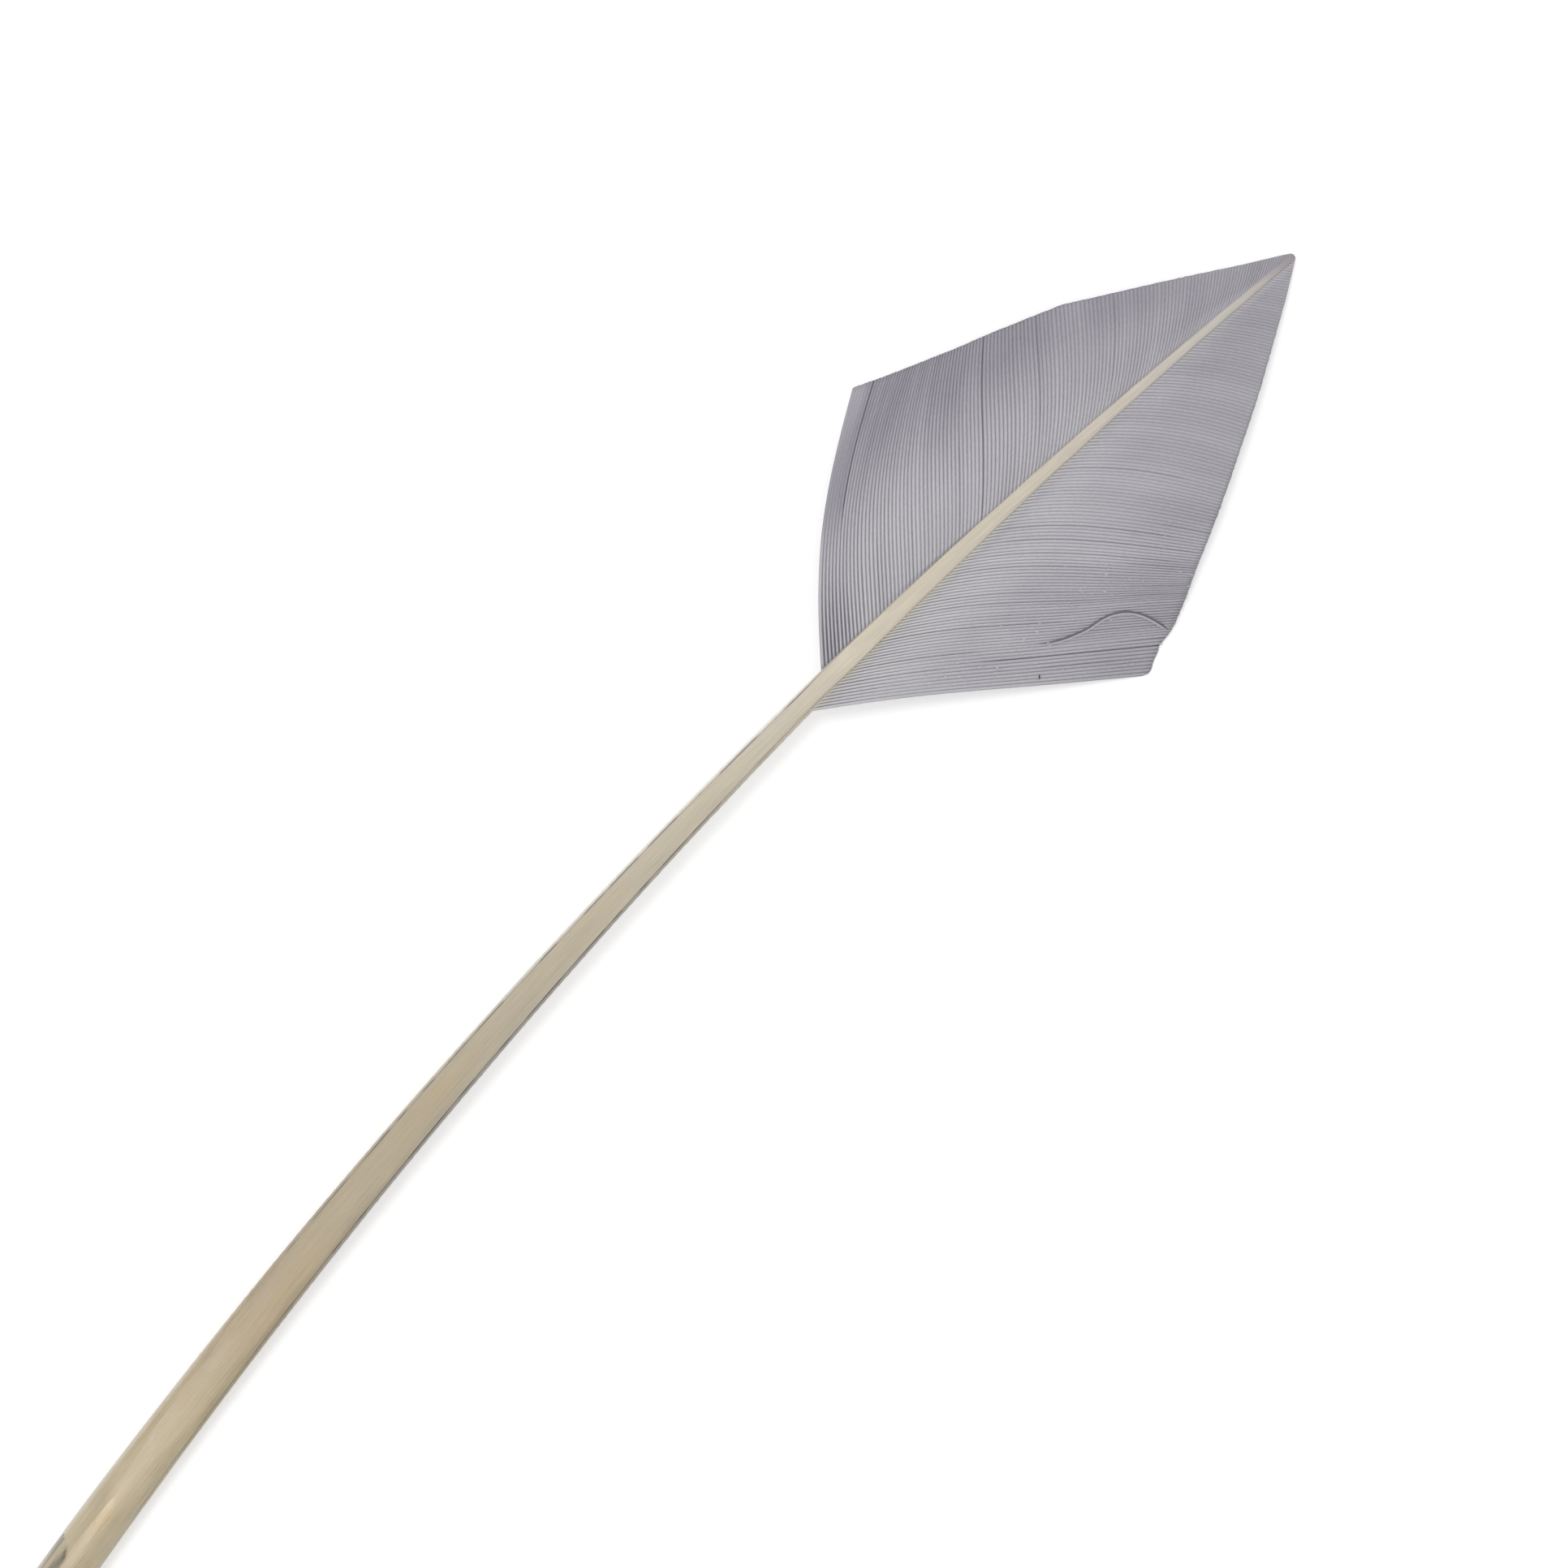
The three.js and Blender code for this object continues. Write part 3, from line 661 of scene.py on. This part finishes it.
def webHeight(vane, f, v):  # falls from the shaft's side to the surface with the droopPower of the way out
    rootX = mix(vane["rootX"], shaft["tipX"] - vanes["tipMargin"], f)
    attach = undersideZ(rootX) + vanes["attachHeight"] * shaftDepth(rootX)
    fall = np.clip(v / vane["reach"], 0, 1) ** vanes["droopPower"]
    barb = f * vane["barbs"]
    swell = ripples(barb, v, 9.0, 14.0, vane["seed"]) + 0.5 * ripples(barb, v, 3.5, 9.0, vane["seed"] + 1)
    swell = vanes["swell"] * swell * smooth(v, 3, 12) * smooth(1 - fall, 0, 0.25)
    return mix(attach, vanes["outerHeight"], fall) + swell


def outsideShaft(x, y):  # distance from the side of the shaft, measured across it
    return np.abs(y - shaftY(x)) * np.cos(shaftHeading(x)) - shaftWidth(x) / 2


def stretchOf(v, start, end, fade):  # 1 from start to end along the barb, with smooth ends
    return smooth(v, start - 2, start + 2) * (1 - smooth(v, end - fade, end + fade))


def splitMarks(vane, edges, v):  # how dark and how deep: a bell over the hollow that is nearest to each split
    # the darkness is painted shade in the gap
    dark, deep = 0 * v, 0 * v
    for at, start, end, depth, darkness in vane["splits"]:
        hollow = np.argmin(np.abs(edges - at)) * len(vanes["phases"])
        near = bell(np.arange(len(v)), hollow, vanes["splitLines"])[:, None] * stretchOf(v, start, end, 1)
        dark, deep = np.maximum(dark, near * darkness), np.maximum(deep, near * depth)
    return dark, deep


def makeVane(vane, material):
    # six lines along each barb, from one hollow over its spine to the next, in steps from the shaft to the cut;
    # the upper side is the web's height plus the ridge, and the lower side is the web's height less its thickness
    rng = np.random.default_rng(vane["seed"])
    count = vane["barbs"]
    pitch = readTable(vane["pitch"], np.linspace(0, 1, count))
    pitch = pitch * (1 + vanes["pitchSpread"] * rng.uniform(-1, 1, count))
    edges = np.concatenate([[0], np.cumsum(pitch)]) / pitch.sum()
    phases = np.array(vanes["phases"])
    f = np.append((edges[:-1, None] + np.diff(edges)[:, None] * phases).ravel(), 1)[:, None]
    barb = np.append(np.repeat(np.arange(count), len(phases)), count - 1)[:, None]
    phase = np.append(np.tile(phases, count), 0)[:, None]
    crest = np.sin(np.pi * phase) ** vanes["crestPower"]

    def perBarb(spread):  # one random value for each barb
        return (spread * rng.uniform(-1, 1, count))[barb]

    paths = barbPaths(vane, f[:, 0])
    full = barbReach(vane, paths)[:, None]
    ends = perBarb(vane["fray"]) - vanes["endNotch"] * (1 - crest)
    ends = readTable(vane["ends"], f) + ends * smooth(full, 2, 12)
    share = np.linspace(0, 1, vanes["steps"])[None, :] ** vanes["stepPower"]
    v = mix(-vanes["overlap"], full + ends, share)
    x, y = alongPaths(paths, v)
    out = outsideShaft(x, y)
    way = v / full

    fade = readTable(vane["fade"], f)
    foot = (1 - smooth(f, *vanes["footShare"])) * (1 - smooth(v, *vanes["footReach"]))
    foldedBarbs = np.argmin(np.abs(edges - vane["folded"]))
    foldShare = np.clip(barb / max(foldedBarbs, 1), 0, 1)
    folded = (barb < foldedBarbs) * smooth(v, *vanes["foldReach"])
    ridge = mix(vane["ridge"], vane["baseRidge"], foot) * mix(1.25, 0.6, smooth(v, 1, 16))
    ridge = ridge * fade * (1 + perBarb(vanes["ridgeSpread"])) * smooth(out, -0.25, 0.35) * crest
    ridge = ridge * (1 - 0.8 * folded)
    dark, deep = splitMarks(vane, edges, v)
    web = webHeight(vane, f, np.maximum(v, 0)) - deep + vanes["foldRise"] * folded * (1 - foldShare ** 2)
    tongue = vane["rootRise"] * bell(out, 0.15, 0.55) * crest * smooth(shaftDepth(x), 0.5, 1.6)
    top = web + ridge + tongue
    bottom = np.maximum(np.minimum(web - vanes["film"] - 0.35 * ridge, top - vanes["thinnest"]), 0)
    top = np.maximum(top, bottom + vanes["thinnest"])

    # stripes: how strong they are, how bright on the whole, and how sharp their spines; their dark hollows are
    # partly painted shade
    outerContrast = mix(vane["outerContrast"], vane["farContrast"], smooth(f, 0.1, 0.35)) * smooth(way, 0.4, 0.95)
    rootContrast = vane["rootContrast"] * (1 - smooth(v, 3, 14))
    contrast = mix(vane["contrast"], vane["baseContrast"], foot) * (1 + outerContrast + rootContrast)
    contrast = contrast * fade * (1 - 0.65 * folded)
    sharpness = 1 + 1.3 * foot
    tone = readTable(vane["tone"], f) + readTable(vane["rootTone"], f) * (1 - smooth(way, 0.15, 0.45))
    tone = mix(tone, vane["baseTone"], (1 - smooth(f, 0.02, 0.1)) * (1 - smooth(v, *vanes["footReach"])))
    pale = 0 * v
    for at, start, end, strength in vane["paleBarbs"]:
        pale = pale + strength * (barb == np.argmax(edges > at) - 1) * stretchOf(v, start, end, 2)

    # the darkening of the outer vane (painted shade where it droops), the tip, a band along the cut and the fold
    # (painted shade beside its line), with clouds of random tone over it
    bandAt, bandWidth, bandStrength = vane["darkBand"]
    drop = vane["outerDrop"] * smooth(way, 0.3, 1.0) * (1 - smooth(f, 0.3, 0.8))
    drop = drop + vane["tipDrop"] * smooth(f, 0.45, 0.8) * smooth(way, -0.4, 0.5)
    drop = drop + bandStrength * bell(f, bandAt, bandWidth) * smooth(way, 0.55, 0.9)
    drop = mix(drop, (0.8 + 0.7 * foldShare ** 2) * (1 - 0.25 * smooth(v, 30, 38)), folded)
    patches = mix(*vanes["patchTones"], smooth(v, 8, 30)) * ripples(f * count, v, 7.0, 11.0, vane["seed"] + 5)
    drop = drop + perBarb(vanes["patchSpread"]) + patches

    tones = {
        "crest": tone + contrast * (crest ** sharpness - vanes["crestMean"] / sharpness ** 0.3)
                 + perBarb(vanes["toneSpread"]) * fade + pale,
        # painted shade and random patches
        "outerShadeAndPatches": np.clip(drop, 0, 1.1),
        "spine": readTable(vane["paleSpines"], f) * crest ** 2 * (1 - smooth(v, 4, vane["spineLength"])),
        "creamAndLitSide": (vane["creamRoots"] * (1 - smooth(out, 0.25, 1.0)) * crest ** 2
                  * (1 - 0.7 * smooth(f, 0.25, 0.6))),
        # painted shade where the barbs dip beside the shaft
        "root": (mix(*vane["darkRoots"], smooth(f, 0.1, 0.45)) * bell(out, 0.02, 0.22)
                 * (1 - smooth(f, 0.7, 0.95))),
        "splitShade": dark, "barb": barb + phase, "reach": v,
    }
    faces, uvs = sheetFaces(*v.shape, vane["side"] > 0)
    points = np.concatenate([np.stack([x, y, height], -1).reshape(-1, 3) for height in (top, bottom)])
    values = {k: np.tile((t + 0 * v).ravel(), 2) for k, t in tones.items()}
    meshPiece(vane["name"], points, faces, uvs, values, material)


def onVane(vane, f, v, lift):  # a point on the vane's upper side, lift above its web, for arrays of f and v
    x, y = alongPaths(barbPaths(vane, f), v[:, None])
    return np.stack([x[:, 0], y[:, 0], webHeight(vane, f, v) + lift], -1)


strayBarb = {
    # share of the right vane, and mm along its barbs
    "route": [(0.0904, 27.4), (0.0892, 29.4), (0.0932, 30.9), (0.1024, 32.1), (0.1164, 33.1), (0.1372, 33.6),
              (0.1484, 34.4), (0.1512, 36.0), (0.146, 37.9), (0.1356, 39.9), (0.1176, 42.6), (0.0912, 46.1)],
    "width": 0.6, "thickness": 0.13, "tilt": 22.0, "lift": 0.3, "endDrop": 0.22, "length": 30.0,
    "samples": 150, "sides": 14,
}


def makeStrayBarb(material):  # a flat, tilted ellipse, carried along the route and pinched at its ends
    route = smoothRoute(np.array(strayBarb["route"]), strayBarb["samples"])
    middle = onVane(rightVane, route[:, 0], route[:, 1], strayBarb["lift"])
    share = np.linspace(0, 1, len(middle))
    ends = np.clip(np.minimum(share / 0.18, (1 - share) / 0.06), 0.06, 1) ** 0.7
    middle[:, 2] -= strayBarb["endDrop"] * (1 - ends)
    way = np.gradient(middle, axis=0)
    way /= np.linalg.norm(way, axis=1)[:, None]
    sideways = np.cross([0, 0, 1], way)
    sideways /= np.linalg.norm(sideways, axis=1)[:, None]
    upward = np.cross(way, sideways)
    tilt = math.radians(strayBarb["tilt"])
    flat = math.cos(tilt) * sideways + math.sin(tilt) * upward
    thin = math.cos(tilt) * upward - math.sin(tilt) * sideways
    angle = np.linspace(0, 2 * math.pi, strayBarb["sides"], endpoint=False)
    aside = strayBarb["width"] / 2 * np.cos(angle)[:, None] * flat[:, None]
    above = strayBarb["thickness"] / 2 * np.sin(angle)[:, None] * thin[:, None]
    points = middle[:, None] + ends[:, None, None] * (aside + above)
    faces, uvs = tubeFaces(*points.shape[:2], 0.06, 0.05)
    points = np.concatenate([points.reshape(-1, 3), middle[[0, -1]]])
    # painted shade on the blade's upper side and painted light on its lower side
    upper = np.append(np.tile(smooth(np.cos(angle), -0.3, 0.2), len(middle)), [0.5, 0.5])
    values = {name: 0 * upper for name in ("outerShadeAndPatches", "spine", "root", "barb")}
    values.update({"crest": 1 - 0.3 * upper, "creamAndLitSide": 0.15 * (1 - upper), "splitShade": 0.85 * upper,
                   "reach": strayBarb["length"] * np.append(np.repeat(share, len(angle)), [0, 1])})
    meshPiece("stray_barb", points, faces, uvs, values, material)


flecks = {
    # share of the right vane, and mm along its barbs
    "seen": [(0.223, 19.0), (0.220, 25.2), (0.216, 26.4), (0.214, 27.0), (0.220, 28.4), (0.180, 26.6),
             (0.177, 27.0), (0.141, 24.8), (0.120, 25.8), (0.083, 30.1), (0.108, 41.9), (0.104, 42.4),
             (0.107, 42.9), (0.078, 45.3), (0.027, 45.1), (0.025, 45.4), (0.049, 22.6), (0.045, 25.3),
             (0.281, 24.9), (0.268, 25.4), (0.249, 27.6), (0.148, 42.5), (0.061, 47.0), (0.417, 28.4),
             (0.276, 36.6), (0.285, 34.5), (0.279, 36.0), (0.364, 31.9), (0.234, 39.0), (0.092, 45.9),
             (0.080, 45.6)],
    "strewn": 28, "strewnShare": (0.02, 0.42), "strewnReach": (18, 36), "strewnLength": 0.6,
    "length": (0.6, 1.2), "width": 0.13, "widths": (0.6, 1.2), "thickness": 0.07, "lift": 0.3, "turn": 0.3,
    "dark": (0.0176, 32.9), "darkTurn": 1.45, "darkLength": 0.85, "darkWidth": 2.0, "seed": 31,
}


def makeFlecks(material):  # each is a sliver: four points round its middle and one at each end
    rng = np.random.default_rng(flecks["seed"])
    seen = np.array([*flecks["seen"], flecks["dark"]])
    strewn = np.stack([rng.uniform(*flecks[key], flecks["strewn"]) for key in ("strewnShare", "strewnReach")], -1)
    strewn[:, 1] = np.minimum(strewn[:, 1], 48 * (1 - strewn[:, 0]) - 4)  # inside the cut
    at = np.concatenate([seen, strewn])
    count = len(at)
    dark = np.arange(count) == len(flecks["seen"])
    middle = onVane(rightVane, at[:, 0], at[:, 1], flecks["lift"])
    way = onVane(rightVane, at[:, 0], at[:, 1] + 0.5, flecks["lift"]) - middle
    way /= np.linalg.norm(way, axis=1)[:, None]
    turn = rng.normal(0, flecks["turn"], count)
    turn[dark] = flecks["darkTurn"]
    along = np.cos(turn)[:, None] * way + np.sin(turn)[:, None] * np.cross([0, 0, 1], way)
    length = rng.uniform(*flecks["length"], count)
    length[len(seen):] *= flecks["strewnLength"]
    length[dark] = flecks["darkLength"]
    ahead = along * length[:, None] / 2
    width = np.where(dark, flecks["darkWidth"], rng.uniform(*flecks["widths"], count)) * flecks["width"] / 2
    aside = np.cross([0, 0, 1], along) * width[:, None]
    up = np.array([0, 0, flecks["thickness"]])
    points = np.stack([middle - ahead, middle + aside, middle + up, middle - aside, middle - up * 0.6,
                       middle + ahead], 1)
    triangles = np.array([(0, 2, 1), (0, 3, 2), (0, 4, 3), (0, 1, 4), (5, 1, 2), (5, 2, 3), (5, 3, 4), (5, 4, 1)])
    faces = (np.arange(count)[:, None, None] * 6 + triangles).reshape(-1, 3)
    cells = math.ceil(math.sqrt(len(faces)))
    corner = np.stack([np.arange(len(faces)) % cells, np.arange(len(faces)) // cells], -1)[:, None]
    uvs = (corner + np.array([(0.1, 0.1), (0.8, 0.1), (0.1, 0.8)])) / cells
    values = {"dark": np.repeat(dark.astype(float), 6)}
    meshPiece("flecks", points.reshape(-1, 3), [faces], [uvs], values, material)


hornMaterial = makeHorn()
barbMaterial = makeDyedBarbs()
makeShaft(hornMaterial)
makeVane(leftVane, barbMaterial)
makeVane(rightVane, barbMaterial)
makeStrayBarb(barbMaterial)
makeFlecks(makeBarbuleDust())


studio = {
    "floorSize": 4.0, "floorColour": 0xC8C8C8, "floorGlow": 0.43,  # metres; a card lit from behind
    "floorRoughness": 0.9, "floorGloss": 0.1,
    "brightSide": 0.72, "dimSide": 0.5, "skyBlend": 0.8,
    "topStrength": 3.2, "topSize": 16.0, "topBlur": 4.0,  # the soft box overhead, in degrees from straight up
    "sunStrength": 0.9, "sunSize": 14.0, "sunHeight": 75.0,
    "turn": 48.387,  # degrees from the photograph's right to the feather's +X
    "pixelsPerMm": 9.0, "imageSize": 1932, "lens": 180.0, "sensor": 36.0, "clip": (0.01, 20),
    "target": (183.2, 2.62, 4.5),
}


def makeFloor():  # one square on the ground
    half = studio["floorSize"] / 2
    mesh = bpy.data.meshes.new("floor")
    mesh.from_pydata([(-half, -half, 0), (half, -half, 0), (half, half, 0), (-half, half, 0)], [], [(0, 1, 2, 3)])
    # A matt translucent card: light comes through it from behind, so it looks white with only faint shadows.
    material, tree, shader = newMaterial("glowingCard")
    shader.inputs["Base Color"].default_value = colour(studio["floorColour"])
    shader.inputs["Roughness"].default_value = studio["floorRoughness"]
    shader.inputs["Specular IOR Level"].default_value = studio["floorGloss"]
    shader.inputs["Emission Color"].default_value = (1, 1, 1, 1)
    shader.inputs["Emission Strength"].default_value = studio["floorGlow"]
    mesh.materials.append(material)
    addToScene("floor", mesh)


def makeLights():
    # a sky that is brighter on the photograph's upper left, a soft box overhead, and a wide sun from that side
    turn = math.radians(studio["turn"])
    right = np.array([math.cos(turn), -math.sin(turn), 0])
    up = np.array([math.sin(turn), math.cos(turn), 0])
    fromSide = (up - right) / math.sqrt(2)
    world = bpy.data.worlds.new("studioSky")
    world.use_nodes = True
    tree = world.node_tree
    place = addNode(tree, "ShaderNodeTexCoord").outputs["Generated"]
    lean, overhead = [addNode(tree, "ShaderNodeVectorMath", {"operation": "DOT_PRODUCT"},
                              {0: place, 1: tuple(float(a) for a in way)}).outputs["Value"]
                      for way in (fromSide, (0, 0, 1))]
    rim = [math.cos(math.radians(studio["topSize"] + blur)) for blur in (studio["topBlur"], -studio["topBlur"])]
    blend = studio["skyBlend"]
    level = addRange(tree, lean, (-blend, blend), (studio["dimSide"], studio["brightSide"]), "SMOOTHSTEP")
    box = addRange(tree, overhead, rim, (0, studio["topStrength"]), "SMOOTHSTEP")
    background = tree.nodes["Background"]
    background.inputs["Color"].default_value = (1, 1, 1, 1)
    tree.links.new(addMath(tree, "ADD", level, box), background.inputs["Strength"])
    bpy.context.scene.world = world

    sun = bpy.data.lights.new("softSun", "SUN")
    sun.energy = studio["sunStrength"]
    sun.angle = math.radians(studio["sunSize"])
    height = math.radians(studio["sunHeight"])
    back = fromSide * math.cos(height) + np.array([0, 0, math.sin(height)])
    side = np.cross([0, 0, 1], back)
    side /= np.linalg.norm(side)
    over = np.cross(back, side)
    matrix = Matrix([[side[i], over[i], back[i], 0] for i in range(3)] + [[0, 0, 0, 1]])
    addToScene("softSun", sun).matrix_world = matrix


def makeCamera():  # straight above the target, at the distance where the picture is imageSize / pixelsPerMm wide
    turn = math.radians(studio["turn"])
    width = studio["imageSize"] / studio["pixelsPerMm"]
    distance = width * studio["lens"] / studio["sensor"]
    x, y, z = studio["target"]
    camera = bpy.data.cameras.new("camera")
    camera.lens = studio["lens"]
    camera.sensor_width = studio["sensor"]
    camera.clip_start, camera.clip_end = studio["clip"]
    cameraObject = addToScene("camera", camera)
    cameraObject.matrix_world = Matrix([
        [math.cos(turn), math.sin(turn), 0, x * mm], [-math.sin(turn), math.cos(turn), 0, y * mm],
        [0, 0, 1, (z + distance) * mm], [0, 0, 0, 1]])
    bpy.context.scene.camera = cameraObject


makeFloor()
makeLights()
makeCamera()
bpy.context.scene.view_settings.view_transform = "Standard"
print("studio: floor, sky, sun and camera")
